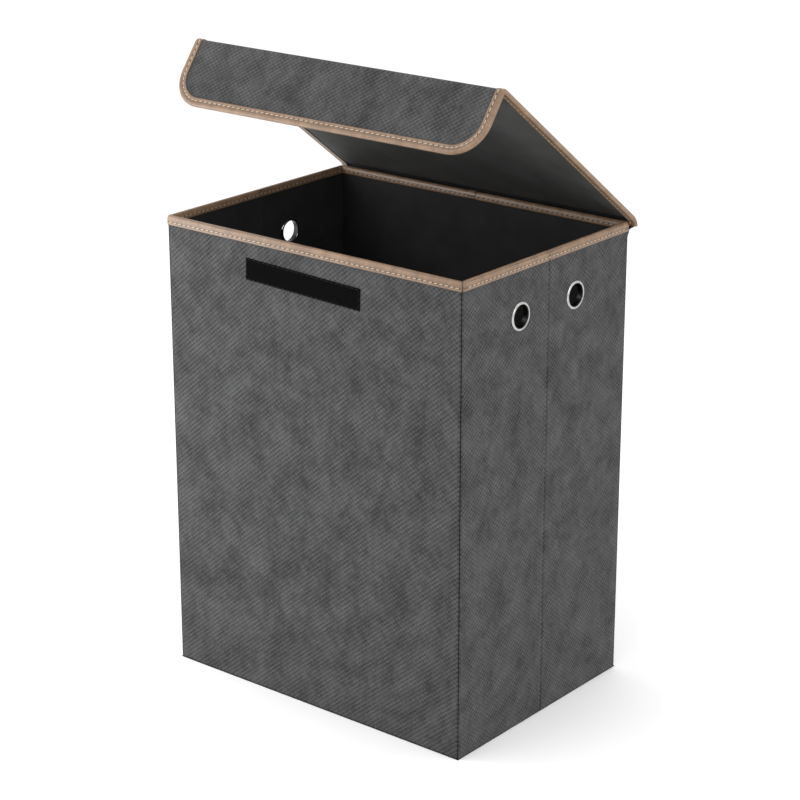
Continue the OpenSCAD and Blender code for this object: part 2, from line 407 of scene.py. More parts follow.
def make_leather():
    """Tan leathercloth tape: pebbled grain, slight gloss, a dark raw edge that is partly painted shade,
    and painted shade in a groove along the stitches and in a needle hole between each two."""
    look = Look("tan_tape")
    where = look.on_cloth()
    pebbles = look.node("TexVoronoi", {"Vector": where, "Scale": 1300.0},
                        feature="SMOOTH_F1").outputs["Distance"]
    clouds = look.noise(where, 60, 4)
    pores = look.noise(where, 2600, 2)
    tan = look.blend(look.spread(clouds), (0.168, 0.100, 0.058), (0.282, 0.180, 0.108))
    creases = look.spread(pebbles, 0.0, 0.40, 0.35, 0.75)
    grained = look.blend(creases, tan, (0.100, 0.060, 0.036))
    along, from_edge = look.split(where)
    off = look.calc("ABSOLUTE", look.calc("SUBTRACT", from_edge, RIM_STITCH * MM))
    between = look.spread(look.wave(along, STITCH_PITCH * MM), low=-0.5, high=-0.85)
    needle = look.times(look.spread(off, 0.95, 0.0, 0.0004, 0.0008), between)
    groove = look.spread(off, 0.58, 0.0, 0.0004, 0.0015)
    edge = look.spread(from_edge, 0.92, 0.0, 0.0005, 0.0010)
    # painted shade in the stitch groove and needle holes; the raw edge is dark, partly as painted shade of the gap
    # beside it
    stitch_shade_and_edge = look.calc("MAXIMUM", look.calc("MAXIMUM", needle, groove), edge)
    look.bump(look.times_plus(pebbles, -1.0, look.times(pores, 0.4)), 0.00010, 0.8)
    colour = look.blend(stitch_shade_and_edge, grained, (0.026, 0.0145, 0.0085))
    return look.finish(colour, look.spread(clouds, 0.27, 0.42))


def make_thread(name, low, high):
    """Twisted sewing thread."""
    look = Look(name)
    where = look.on_cloth()
    along, around = look.split(where)
    twist = look.times_plus(along, 1 / 0.0009, look.times(around, 1 / MM))
    ply = look.wave(twist, 1)
    fuzz = look.noise(where, 3000, 2)
    tone = look.times_plus(fuzz, 0.5, look.spread(ply, 0.0, 0.6, -1, 1))
    look.bump(ply, 0.00008)
    return look.finish(look.blend(tone, low, high), look.spread(fuzz, 0.6, 0.8), 0.2)


def make_metal(name, low, high, roughness):
    """Plated steel, with a faint haze and fine turning marks."""
    look = Look(name)
    where = look.on_object()
    haze = look.noise(where, 240, 3)
    look.bump(look.noise(where, 2200, 2), 0.00001)
    look.set("Metallic", 1.0)
    return look.finish(look.blend(look.spread(haze), low, high), look.spread(haze, *roughness))


def make_card():
    """Grey-brown recycled board with flecks and faint fluting."""
    look = Look("recycled_board")
    where = look.on_object()
    fibres = look.noise(where, 700, 4)
    clouds = look.noise(where, 30, 3)
    flecks = look.spread(look.noise(where, 1400, 1), low=0.66, high=0.72)
    tone = look.times_plus(fibres, 0.5, look.times(clouds, 0.5))
    board = look.blend(look.spread(tone, low=0.38, high=0.62), (0.30, 0.225, 0.15), (0.42, 0.33, 0.23))
    look.bump(fibres, 0.00015)
    return look.finish(look.blend(flecks, board, (0.16, 0.12, 0.085)), look.spread(fibres, 0.80, 0.95))


def make_tape(name, low, high):
    """Black woven nylon tape that carries hooks or loops."""
    look = Look(name)
    where = look.on_cloth()
    ribs = look.lattice(where, across=0.0015, up=0.0015, wander=0.0)
    fuzz = look.noise(where, 1800, 3)
    tone = look.times_plus(fuzz, 0.6, look.spread(ribs, 0.0, 0.4, -1, 1))
    look.bump(look.times_plus(fuzz, 0.8, ribs), 0.00018)
    return look.finish(look.blend(tone, low, high), look.spread(fuzz, 0.55, 0.8), 0.02)


def make_floor():
    look = Look("pale_floor")
    where = look.on_object()
    tone = look.spread(look.noise(where, 3, 3))
    colour = look.blend(tone, grey(0.88), grey(0.90))
    return look.finish(colour, look.spread(look.noise(where, 60, 2), 0.7, 0.8), 0.1)


FABRIC = make_fabric()
LINING = make_lining("black_lining", (0.0072, 0.0073, 0.0075), (0.0190, 0.0191, 0.0194))
# painted light: the lid's lining is coloured several times lighter than the walls' black lining, to stand in for
# the light falling on the lid's underside
LIT_LID_LINING = make_lining("lid_lining_painted_lighter", (0.041, 0.0407, 0.040), (0.069, 0.0684, 0.0672))
LEATHER = make_leather()
THREAD = make_thread("tan_thread", (0.38, 0.285, 0.20), (0.70, 0.58, 0.46))
DARK_THREAD = make_thread("charcoal_thread", (0.03, 0.031, 0.033), (0.075, 0.076, 0.08))
BLACK_THREAD = make_thread("black_thread", grey(0.001), grey(0.004))
NICKEL = make_metal("bright_nickel", (0.36, 0.355, 0.345), (0.55, 0.545, 0.535), (0.06, 0.18))
# painted shade: near-black metal for the eyelets' mouths and barrels, standing in for the shade in the hole and
# the dark inside that the barrel reflects
MOUTH_SHADE_METAL = make_metal("barrel_painted_dark", grey(0.016), (0.040, 0.039, 0.038), (0.30, 0.45))
CARD = make_card()
HOOK_TAPE = make_tape("black_hook_tape", grey(0.0012), grey(0.005))
LOOP_TAPE = make_tape("black_loop_tape", grey(0.003), grey(0.010))
NYLON = make_tape("black_nylon", grey(0.0015), grey(0.007))


# ---- Pieces and stitches ----

def finish_piece(obj, material, body=None, nodes=()):
    """Gives a piece its material, hides the nodes it stands for, and sets what it rides on."""
    obj.data.materials.append(material)
    if nodes:
        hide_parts(*nodes)
    if body:
        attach(obj, body)
    return obj


def sheet(obj, size, rests_on, area=None, with_pieces=(), held="stretched"):
    """Takes a cloth's flat size, and its area where it is no rectangle, in millimetres, and records neither: the
    area is only turned into square metres, and the size is not used.
    """
    if area:
        area = area * MM ** 2


def second_material(obj, material, wanted):
    """Gives another material to the faces that wanted(face) picks."""
    obj.data.materials.append(material)
    for face in obj.data.polygons:
        face.material_index = int(wanted(face))


def unit(vectors):
    return vectors / np.linalg.norm(vectors, axis=-1, keepdims=True)


def sew(name, place, lengths, thread=THREAD, body=None, tilt=7):
    """Stitches at the given lengths along place(s, lift), which gives points on a surface."""
    tiny, zero = 0.05, 0 * lengths
    centre = place(lengths, zero + tiny)
    along = unit(place(lengths + tiny, zero) - place(lengths - tiny, zero))
    out = unit(place(lengths, zero + tiny) - place(lengths, zero))
    across = np.cross(out, along)
    lean = math.radians(tilt)
    along, across = (along * math.cos(lean) + across * math.sin(lean),
                     across * math.cos(lean) - along * math.sin(lean))
    t = (math.pi * (np.arange(STITCH_RINGS) + 0.35) / (STITCH_RINGS - 0.3))[:, None]
    share = np.arange(STITCH_SIDES) / STITCH_SIDES
    turn = 2 * math.pi * share
    x, r = -STITCH_LEN / 2 * np.cos(t), np.sin(t) ** 0.6
    shape = at(x, STITCH_W / 2 * r * np.cos(turn), STITCH_H * r * np.sin(turn))
    rings = centre[:, None, None] + shape @ np.stack([along, across, out], -2)[:, None]
    shift = STITCH_PITCH * np.arange(len(lengths))[:, None, None]
    return finish_piece(many_tubes(name, rings, at(x + shift, share)), thread, body)


def spaced(length, margin):
    """Stitch positions along a length, one of them in its middle, clear of both ends."""
    count = int((length / 2 - margin) // STITCH_PITCH)
    return length / 2 + np.arange(-count, count + 1) * STITCH_PITCH


# ---- Front and back walls ----

END_R = 2.0             # radius of their upright corners
END_RETURN = 2.2        # how far the fabric returns behind its own thickness


def end_path():
    """Outline in plan from one side return, round both corners: x, y out, normal x, normal y out,
    and length along it."""
    turn = np.linspace(0, math.pi / 2, 7)
    arc_x, arc_y = END_HALF_W - END_R + END_R * np.cos(turn), HALF_D - END_R + END_R * np.sin(turn)
    middle = stops(END_R - END_HALF_W, END_HALF_W - END_R, GRID)[1:-1][::-1]
    right = [(END_HALF_W, HALF_D - FABRIC_T - END_RETURN, 1, 0)]
    right += [(x, y, math.cos(a), math.sin(a)) for x, y, a in zip(arc_x, arc_y, turn)]
    left = [(-x, y, -nx, ny) for x, y, nx, ny in reversed(right)]
    path = np.array(right + [(x, HALF_D, 0, 1) for x in middle] + left, float)
    return path, run_length(path[:, :2])


def make_end_fabric(wall):
    sign = ENDS[wall]
    low = box_mm(f"{wall}_outer_fabric")[0][2]
    path, length = end_path()
    z = stops(low, WALL_TOP, GRID, [low + d for d in HEM_LINES])
    x, y, nx, ny = (path[:, i][:, None] for i in range(4))
    s, zz = grid(length, z)
    inset = np.minimum(s - length[1], length[-2] - s)
    lift = RIPPLE * ripple(s, zz, 1.3 + sign) * smooth(inset / 14) * smooth((zz - low) / 14)
    lift = lift - rounding(zz - low, HEM_R)
    faces = [at(x + nx * out, sign * (y + ny * out), zz) for out in (lift, TUCK - FABRIC_T)]
    obj = shell(f"{wall}_wall_fabric", *faces, at(-sign * s, zz))
    finish_piece(obj, FABRIC, f"{wall}_wall", [f"{wall}_outer_fabric"])
    # painted shade: the returns inside the corners get the black lining, to darken the crevice where the corner's
    # shade falls
    second_material(obj, LINING, lambda face: abs(face.normal.x) > 0.85)
    return obj, (length[-1], WALL_TOP - low)


def make_end_lining(wall):
    sign = ENDS[wall]
    low, high = box_mm(f"{wall}_lining")
    x, z = (stops(low[i], high[i], 6) for i in (0, 2))
    xx, zz = grid(x, z)
    face = HALF_D - WALL_T
    bow = BOW * ripple(xx, zz, 4.1 + sign) * smooth((high[2] - zz) / 20)
    faces = [at(xx, sign * y, zz) for y in (face + LINING_T, face - bow)]
    obj = shell(f"{wall}_wall_lining", *faces, at(xx, zz))
    finish_piece(obj, LINING, f"{wall}_wall", [f"{wall}_lining"])
    return obj, (high[0] - low[0], high[2] - low[2])


# ---- Side walls: one cloth each, with a crease in the middle ----

def bend_side(obj):
    """Bakes the piece's transform into its mesh."""
    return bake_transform(obj)


def finish_side(obj, material, side, layer):
    """Finishes a piece that stands for one layer of both halves."""
    nodes = [f"{side}_{half}_{layer}" for half in HALVES]
    return bend_side(finish_piece(obj, material, None, nodes))


def side_grid(end, crease_lines):
    """Grid over a side wall with round holes at the two grommets: its y and z, and the cells that stay."""
    square = np.arange(-HOLE_FAR, HOLE_FAR + 1, GRID)
    end_lines = [end - d for d in (0.25, 0.6, 1.1, 2)]
    y_fixed = mirrored([*(GROMMET_Y + square), *crease_lines, *end_lines]) + [0]
    z_fixed = [GROMMET_Z + d for d in square] + [SIDE_LOW + d for d in HEM_LINES]
    y, z = grid(stops(-end, end, GRID, y_fixed), stops(SIDE_LOW, WALL_TOP, GRID, z_fixed))
    y_mid, z_mid = (y[1:, 1:] + y[:-1, :-1]) / 2, (z[1:, 1:] + z[:-1, :-1]) / 2
    keep = np.maximum(abs(abs(y_mid) - GROMMET_Y), abs(z_mid - GROMMET_Z)) > HOLE_NEAR
    dy, dz = abs(y) - GROMMET_Y, z - GROMMET_Z
    reach, far = np.maximum(abs(dy), abs(dz)), np.hypot(dy, dz)
    near = (reach > HOLE_NEAR - 0.1) & (reach < HOLE_FAR + 0.1)
    t = np.clip((reach - HOLE_NEAR) / (HOLE_FAR - HOLE_NEAR), 0, 1)
    scale = np.where(near, (CLOTH_HOLE_R * (1 - t) + far * t) / np.maximum(far, 1e-6), 1)
    return np.sign(y) * (GROMMET_Y + dy * scale) * near + y * ~near, GROMMET_Z + dz * scale, keep


def from_grommet(y, z):
    return np.hypot(abs(y) - GROMMET_Y, z - GROMMET_Z)


def make_side_fabric(side):
    sign = SIDES[side]
    end = HALF_D - 1.3
    y, z, keep = side_grid(end, (0.3, 0.6, 0.9, 1.3, 1.8, 2.6, 4, 6, 9))
    lift = 0.15 + RIPPLE * ripple(y, z, 2.2 + sign) * smooth((end - abs(y)) / 14)
    lift = lift * smooth((from_grommet(y, z) - FLANGE_R) / 12)
    lift = lift - 0.95 * bell(y, 1.25) + 0.30 * bell(abs(y) - 3.4, 1.8)
    lift = lift - rounding(z - SIDE_LOW, HEM_R) - rounding(end - abs(y), 0.85)
    faces = [at(sign * (HALF_W + out), y, z) for out in (lift, 0.03 - FABRIC_T)]
    obj = shell(f"{side}_wall_fabric", *faces, at(-sign * y, z), keep)
    size = (2 * end, WALL_TOP - SIDE_LOW)
    return finish_side(obj, FABRIC, side, "outer_fabric"), size


def make_side_lining(side):
    sign = SIDES[side]
    end = box_mm(f"{side}_rear_lining")[1][1]
    y, z, keep = side_grid(end, (0.3, 0.6, 1, 1.4, 1.9, 2.4, 3, 4, 6))
    bow = BOW * ripple(y, z, 5.2 + sign) * smooth((WALL_TOP - z) / 20)
    bow = bow * smooth((from_grommet(y, z) - 15) / 12)
    bow = bow - 0.5 * bell(y, 0.7) + 0.7 * bell(abs(y) - 1.9, 1.0)
    faces = [at(sign * x, y, z) for x in (WALL_IN + LINING_T, WALL_IN - bow)]
    obj = shell(f"{side}_wall_lining", *faces, at(y, z), keep)
    return finish_side(obj, LINING, side, "lining"), (2 * end, WALL_TOP - SIDE_LOW)


# ---- Rim binding ----

NO_EDGE = 5             # distance from the raw edge that puts a point clear of its dark line
CORNER_R = 3.4          # radius of the tape's outer corners in plan
FAN = 11                # stations round a corner


def rim_section(width):
    """Closed outline of the tape over a wall's top: distance in from its outer face, height, and
    distance from the nearest raw edge."""
    shoulder = RIM_TOP - 4.4
    rise = np.array([0, 0.3, 1.3, RIM_STITCH - 0.7, RIM_STITCH, RIM_STITCH + 0.7, 4.4])
    puff = np.array([0.28, 0.02, -0.12, -0.05, 0.14, -0.08, -0.24])
    low_in = RIM_TOP - RIM_H_IN
    out_leg = [(p, RIM_LOW + r, r) for r, p in zip(rise, puff)]
    top = [(width / 2 * (1 + math.cos(a)), shoulder + 4.4 * math.sin(a), NO_EDGE)
           for a in np.linspace(math.pi, 0, 13)]
    in_leg = [(width - p, low_in + r, r) for r, p in zip(rise[-2::-1], puff[-2::-1])]
    ceiling = RIM_TOP - RIM_T - 0.15
    inside = [(width - RIM_T, low_in), (width - RIM_T, ceiling), (RIM_T, ceiling), (RIM_T, RIM_LOW)]
    return np.array(out_leg + top + in_leg + [(*place, NO_EDGE) for place in inside], float)


def rim_rings(outer, inner, s, nip):
    """Rings of the rim tape for stations that each run from an outer to an inner plan point. The
    outer leg is pressed in by nip, and the top sinks with it."""
    rings, flat = [], []
    for a, b, along, press in zip(outer, inner, s, nip):
        width = np.linalg.norm(b - a)
        section = rim_section(width)
        inwards = section[:, :1] + press * np.exp(-section[:, :1] / 0.8)
        place = a + (b - a) / width * inwards
        height = section[:, 1] - 0.6 * press * (section[:, 1] > RIM_TOP - 3)
        rings.append(np.column_stack([place, height]))
        flat.append(at(along, section[:, 2]))
    return np.array(rings), np.array(flat)


def make_end_rim(wall):
    """The front or back tape, turning both corners to meet the side tapes."""
    out_x, in_x = HALF_W + RIM_T, WALL_IN - 1.1
    round_x, round_y = out_x - CORNER_R, RIM_OUT - CORNER_R
    stop_y = RIM_IN_Y - 0.2
    right = [((out_x, stop_y), (in_x, stop_y - 0.05)),
             ((out_x, (stop_y + round_y) / 2), (in_x, RIM_IN_Y - 0.16))]
    for t in np.linspace(0, 1, FAN):
        a = t * math.pi / 2
        right.append(((round_x + CORNER_R * math.cos(a), round_y + CORNER_R * math.sin(a)),
                      (in_x - 0.5 * t, RIM_IN_Y - 0.12 * (1 - t))))
    straight = [((x, RIM_OUT), (x, RIM_IN_Y)) for x in stops(3 - in_x, in_x - 3, 4)[::-1]]
    left = [((-a[0], a[1]), (-b[0], b[1])) for a, b in reversed(right)]
    stations = np.array(right + straight + left, float)
    stations[..., 1] *= ENDS[wall]
    s = run_length(stations[:, 0])
    s = s - s[-1] / 2
    corner_s = s[-1 - 2 - FAN // 2]
    nip = 1.05 * bell(abs(s) - corner_s, 1.1)
    rings, flat = rim_rings(stations[:, 0], stations[:, 1], s, nip)
    flat[abs(abs(s) - corner_s) < 0.6, :, 1] = 0     # painted shade: the raw edge's dark colour is painted across the crease
    obj = tube(f"{wall}_rim_tape", rings, flat)
    return finish_piece(obj, LEATHER, f"{wall}_wall", [f"{wall}_rim_binding"])


def make_side_rim(side):
    sign = SIDES[side]
    end = box_mm(f"{side}_rear_rim_binding")[1][1] + TUCK
    y = stops(-end, end, 4, mirrored((0.4, 0.9, 1.5, 2.4, 4, 6)) + [0])
    nip = 0.9 * bell(y, 0.9)
    outer = at(sign * (HALF_W + RIM_T), y)
    inner = at(sign * (WALL_IN - RIM_T + 0.8 * nip), y)
    rings, flat = rim_rings(outer, inner, y, nip)
    flat[abs(y) < 0.5, :, 1] = 0        # painted shade: the raw edge's dark colour is painted across the crease
    return finish_side(tube(f"{side}_rim_tape", rings, flat), LEATHER, side, "rim_binding")


def make_rim_stitches():
    for face, out, z in (("outer", 1, RIM_LOW + RIM_STITCH), ("inner", -1, RIM_TOP - RIM_H_IN + RIM_STITCH)):
        outside = out > 0
        for wall, sign in ENDS.items():
            level = (RIM_OUT if outside else RIM_IN_Y) - out * STITCH_SINK
            half = HALF_W - 2 if outside else WALL_IN - 4

            def on_end(s, lift):
                return at(s - half, sign * (level + out * lift), z)
            sew(f"{wall}_rim_{face}_stitches", on_end, spaced(2 * half, 2), body=f"{wall}_wall")
        for side, sign in SIDES.items():
            level = (HALF_W + RIM_T if outside else WALL_IN - RIM_T) - out * STITCH_SINK

            def on_side(s, lift):
                return at(sign * (level + out * lift), s - RIM_IN_Y, z)
            bend_side(sew(f"{side}_rim_{face}_stitches", on_side, spaced(2 * RIM_IN_Y, 3)))


def make_rim_join():
    """The overlap where the rim tape's two ends meet, on the back wall."""
    x_mid, half, over = -7.0, 5.5, 0.6
    x = stops(x_mid - half, x_mid + half, 2, (x_mid - half + 0.6, x_mid + half - 0.6))
    rings, flat = rim_rings(at(x, RIM_OUT + over), at(x, RIM_IN_Y - over), x, 0 * x)
    rings[..., 2] += over
    flat[[0, -1], :, 1] = 0             # both cut ends show a raw edge
    finish_piece(tube("back_rim_tape_join", rings, flat), LEATHER, "back_wall")


# ---- Lid and flap ----

LID_LENGTH = LID_REAR - FLAP_FRONT - FOLD_R
FOLD_MID_R = FOLD_R - LID_T / 2
FOLD_ARC = FOLD_MID_R * math.pi / 2
FLAP_START = LID_LENGTH + FOLD_ARC
V_END = FLAP_START + (LID_TOP - FOLD_R) - FLAP_LOW
CORNER_V = V_END - FLAP_R
CORNER_ARC = FLAP_R * math.pi / 2
EDGE_HALF = CORNER_V + CORNER_ARC + LID_HALF_W - FLAP_R      # half the length of the bound edge
FOLD_LINES = np.linspace(LID_LENGTH - 1, FLAP_START + 1, 17)
ACROSS = np.linspace(-1, 1, 83)         # grid lines across the lid, as shares of its half width


def lid_points(x, v, n):
    """Points of the open lid and flap: x across, v from the rear edge forwards over the fold and
    down the flap, and n outwards from the outer fabric's face."""
    turn = np.clip((v - LID_LENGTH) / FOLD_MID_R, 0, math.pi / 2)
    y = LID_REAR - np.minimum(v, LID_LENGTH) - (FOLD_R + n) * np.sin(turn)
    z = LID_TOP - FOLD_R - np.maximum(v - FLAP_START, 0) + (FOLD_R + n) * np.cos(turn)
    return swing(at(x, y, z), LID_OPEN)


def bend_flap(obj):
    """Bakes the piece's transform into its mesh."""
    start, end = (lid_points(0.0, v, FOLD_MID_R - FOLD_R) for v in (LID_LENGTH, FLAP_START))
    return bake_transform(obj)


def lid_edge(s, inset):
    """x and v of the lid's outline at length s from its left rear corner, moved in by inset."""
    t = np.where(s > EDGE_HALF, 2 * EDGE_HALF - s, s)
    turn = np.clip((t - CORNER_V) / FLAP_R, 0, math.pi / 2)
    past = np.maximum(t - CORNER_V - CORNER_ARC, 0)
    radius = FLAP_R - inset
    x = LID_HALF_W - FLAP_R + radius * np.cos(turn) - past
    v = np.minimum(t, CORNER_V) + radius * np.sin(turn)
    return np.where(s > EDGE_HALF, x, -x), v


def lid_grid(inset):
    """Grid over lid and flap out to the outline moved in by inset, as x and v."""
    radius = FLAP_R - inset
    round_v = CORNER_V + radius * np.sin(np.linspace(0, math.pi / 2, 25))
    v = np.concatenate([stops(0, CORNER_V, GRID, FOLD_LINES), round_v[1:]])
    drop = np.clip(v - CORNER_V, 0, radius)
    half = LID_HALF_W - FLAP_R + np.sqrt(radius ** 2 - drop ** 2)
    return half[:, None] * ACROSS, np.repeat(v[:, None], len(ACROSS), 1)


def make_lid_cloth(layer, out, back, material, seed, height):
    """One cloth over lid and flap between two levels; height is its unevenness, off the board."""
    x, v = lid_grid(EDGE_T + 0.1)
    inside = smooth((LID_HALF_W - EDGE_W - abs(x)) / 14) * smooth((V_END - EDGE_W - v) / 12)
    lift = height * ripple(x, v, seed) * inside * (1 - bell(v - LID_LENGTH - FOLD_ARC / 2, 6))
    name = f"lid_and_flap_{layer.removeprefix('outer_')}"
    obj = shell(name, lid_points(x, v, out + lift), lid_points(x, v, back), at(x, v))
    return bend_flap(finish_piece(obj, material, None, [f"lid_{layer}", f"flap_{layer}"]))


def tape_section():
    """Closed outline of the tape round the lid's edge: distance in from the edge, level, and
    distance from the raw edge."""
    stitch = EDGE_W - LID_STITCH
    rise = np.array([0, 0.25, 1.2, 2.6, stitch - 0.7, stitch, stitch + 0.7])
    fall = np.array([0.3, 0.03, -0.08, -0.05, -0.02, 0.16, -0.04])
    face = [(EDGE_W - r, EDGE_T - f, r) for r, f in zip(rise, fall)]
    face.append((2.6, EDGE_T + 0.10, NO_EDGE))
    middle, tall = -LID_T / 2, LID_T / 2 + EDGE_T
    nose = [(2.2 - 2.2 * math.sin(a), middle + tall * math.cos(a), NO_EDGE)
            for a in np.linspace(0.12, math.pi - 0.12, 11)]
    under = [(d, 2 * middle - n, e) for d, n, e in reversed(face)]
    inside = [(EDGE_W, -LID_T), (EDGE_T, -LID_T), (EDGE_T, 0), (EDGE_W, 0)]
    return np.array(face + nose + under + [(*place, NO_EDGE) for place in inside], float).T


TAPE_IN, TAPE_LEVEL, TAPE_FROM_EDGE = tape_section()
TAPE_FACES = (("outer", EDGE_T - EDGE_SINK, 1), ("inner", -LID_T - EDGE_T + EDGE_SINK, -1))


def make_lid_tape():
    arc = CORNER_V + FLAP_R * np.linspace(0, math.pi / 2, 31)
    left = stops(0, EDGE_HALF, GRID, [*FOLD_LINES, *arc])
    s = np.concatenate([left, (2 * EDGE_HALF - left[:-1])[::-1]])[:, None]
    x, v = lid_edge(s, TAPE_IN)
    obj = tube("lid_edge_tape", lid_points(x, v, TAPE_LEVEL), at(s - EDGE_HALF, TAPE_FROM_EDGE))
    nodes = ["lid_left_binding", "lid_right_binding", "flap_binding"]
    return bend_flap(finish_piece(obj, LEATHER, None, nodes))


def make_lid_stitches():
    for face, level, out in TAPE_FACES:
        def place(s, lift):
            return lid_points(*lid_edge(s, LID_STITCH), level + out * lift)
        bend_flap(sew(f"lid_edge_{face}_stitches", place, spaced(2 * EDGE_HALF, 3)))


# ---- Soft hinge from the lid to the back wall ----

TAIL_CUT = 0.5          # share of the hinge's curve that the ends of the lid's tape cover


def tail_curve(t):
    """Middle of the soft hinge, from the lid's rear edge over and down to the back wall, and its
    normal, as y and z."""
    start = lid_points(0.0, 0.0, -LID_T / 2)[1:]
    slope = np.array([math.cos(LID_OPEN), -math.sin(LID_OPEN)])
    knots = np.array([start, start + 10.5 * slope, (HALF_D + 13, RIM_TOP - 10), (HALF_D + 1.3, RIM_TOP - 24)])
    t = np.asarray(t, float)
    point = at((1 - t) ** 3, 3 * t * (1 - t) ** 2, 3 * t ** 2 * (1 - t), t ** 3) @ knots
    way = unit(at((1 - t) ** 2, 2 * t * (1 - t), t ** 2) @ np.diff(knots, axis=0))
    return point, at(-way[..., 1], way[..., 0])


def tail_points(x, t, level):
    """Points of the soft hinge: x across, t along its curve, level outwards from its middle."""
    point, normal = tail_curve(t)
    return at(x, point[..., 0] + normal[..., 0] * level, point[..., 1] + normal[..., 1] * level)


def bend_tail(obj):
    start, end = tail_points(0.0, 0.92, 0.0), tail_points(0.0, 0.0, 0.0)
    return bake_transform(obj)


def tail_length(t):
    fine = np.linspace(0, 1, 201)
    return np.interp(t, fine, run_length(tail_curve(fine)[0]))


def make_tail():
    t = np.linspace(0, 1, 41)[:, None]
    half = LID_HALF_W - 1 - 9 * smooth((t - 0.45) / 0.25)
    thick = LID_T / 2 - (LID_T / 2 - 0.8) * smooth(t / 0.15)
    x = half * ACROSS
    wave_out = 0.5 * (ripple(x * 1.5, t * 40, 7.7) - 0.5) * np.sin(math.pi * t)
    faces = tail_points(x, t, wave_out + thick), tail_points(x, t, wave_out - thick)
    obj = shell("lid_soft_hinge", *faces, at(x, -tail_length(t)))
    finish_piece(obj, FABRIC, None, ["lid_hinge_strip"])
    inner_from = (len(t) - 1) * (len(ACROSS) - 1)
    # its inner face is the black side
    second_material(obj, LINING, lambda face: face.index >= inner_from)
    bend_tail(obj)
    return obj, (2 * (LID_HALF_W - 1), tail_length(1.0))


def make_tail_tapes():
    """The ends of the lid's tape, which run on over the soft hinge and are cut off square."""
    made = []
    t = np.linspace(0, TAIL_CUT, 13)
    along = tail_length(t)
    for side, sign in SIDES.items():
        rings = tail_points(sign * (LID_HALF_W - TAPE_IN), t[:, None], TAPE_LEVEL + LID_T / 2)
        obj = tube(f"lid_tape_end_{side}", rings, at(along[:, None] - 3, TAPE_FROM_EDGE))
        made.append(bend_tail(finish_piece(obj, LEATHER)))
        for face, level, out in TAPE_FACES:
            def place(s, lift):
                x = sign * (LID_HALF_W - LID_STITCH)
                return tail_points(x, np.interp(s, along, t), LID_T / 2 + level + out * lift)
            lengths = np.arange(3.0, along[-1] - 2, STITCH_PITCH)
            made.append(bend_tail(sew(f"lid_tape_end_{side}_{face}_stitches", place, lengths)))
    return made


def make_hinge_seam():
    """Row of stitches that holds the soft hinge to the back wall."""
    half = LID_HALF_W - 16

    def place(s, lift):
        return tail_points(s - half, 0.93, 0.8 + lift)
    sew("hinge_seam_stitches", place, spaced(2 * half, 2), DARK_THREAD, "back_wall")


# ---- Grommets ----

MOUTH_R = HOLE_R + 0.05
BARREL_R = MOUTH_R + 0.75
DOME_W = (FLANGE_R - MOUTH_R) / 2       # half the width of the rolled flange
WASHER_R = FLANGE_R - 0.5


def eyelet_profile():
    """Radius and x of the rolled outer flange and the barrel through the wall."""
    peak = FLANGE_OUT - HALF_W + 0.35
    dome = [(MOUTH_R + DOME_W - DOME_W * math.cos(a), HALF_W - 0.25 + (peak + 0.25) * math.sin(a) ** 0.8)
            for a in np.linspace(0, math.pi, 17)]
    return dome + [(FLANGE_R - 0.6, HALF_W - 0.35), (BARREL_R, HALF_W - 0.3), (BARREL_R, BARREL_IN - 0.05),
                   (MOUTH_R + 0.45, BARREL_IN - 0.25), (MOUTH_R, BARREL_IN)]


def washer_profile():
    """Radius and x of the domed washer inside."""
    half = (WASHER_R - BARREL_R) / 2
    dome = [(BARREL_R + 0.05 + half * (1 - math.cos(a)), WALL_IN - math.sin(a) ** 0.7)
            for a in np.linspace(0, math.pi, 13)]
    return dome + [(WASHER_R - 0.3, WALL_IN + 0.2), (BARREL_R + 0.3, WALL_IN + 0.2)]


def lathe(name, profile, sign, y, z):
    """A ring about an X axis through a hole, from a closed profile of radius and x."""
    turn = np.linspace(0, 2 * math.pi, 97)[:-1, None]
    radius, x = np.array(profile).T
    rings = at(sign * x, y + radius * np.cos(turn), z + radius * np.sin(turn))
    return tube(name, rings, at(turn * HOLE_R, radius), sharp=50, closed=True)


def make_grommets():
    """Eyelets with a rolled outer flange, near black inside as painted shade and a painted dark reflection, and a
    washer each.
    """
    for side, sign in SIDES.items():
        for half, way in HALVES.items():
            place, y = f"{side}_{half}", way * GROMMET_Y

            def in_mouth(face):
                radius = math.hypot(face.center.y / MM - y, face.center.z / MM - GROMMET_Z)
                return radius < MOUTH_R + 0.5 * DOME_W
            eyelet = lathe(f"{place}_eyelet", eyelet_profile(), sign, y, GROMMET_Z)
            finish_piece(eyelet, NICKEL, place, [f"{place}_grommet"])
            # painted shade: the mouth and the inner half of the flange take the near-black metal
            second_material(eyelet, MOUTH_SHADE_METAL, in_mouth)
            washer = lathe(f"{place}_eyelet_washer", washer_profile(), sign, y, GROMMET_Z)
            finish_piece(washer, NICKEL, place, [f"{place}_washer"])


# ---- Hook-and-loop strips ----

STRIP_BACK = 0.1        # gap between a strip and the cloth it is sewn to
HOOK_T, LOOP_T = 1.0, 0.9


def strip_slab(name, place, half, thick):
    """A thin woven strip with a low selvedge along its long edges."""
    half_x, _, half_z = half
    x = stops(-half_x, half_x, 3, mirrored([half_x - 0.4]))
    z = stops(-half_z, half_z, 1.5, mirrored([half_z - 0.3, half_z - 1.6]))
    xx, zz = grid(x, z)
    edge = np.minimum(half_x - abs(xx), half_z - abs(zz))
    selvedge = 0.12 * smooth((1.8 - (half_z - abs(zz))) / 0.4)
    top = STRIP_BACK + thick - rounding(edge, 0.3) - selvedge
    return shell(name, place(xx, zz, top), place(xx, zz, STRIP_BACK), at(xx, zz))


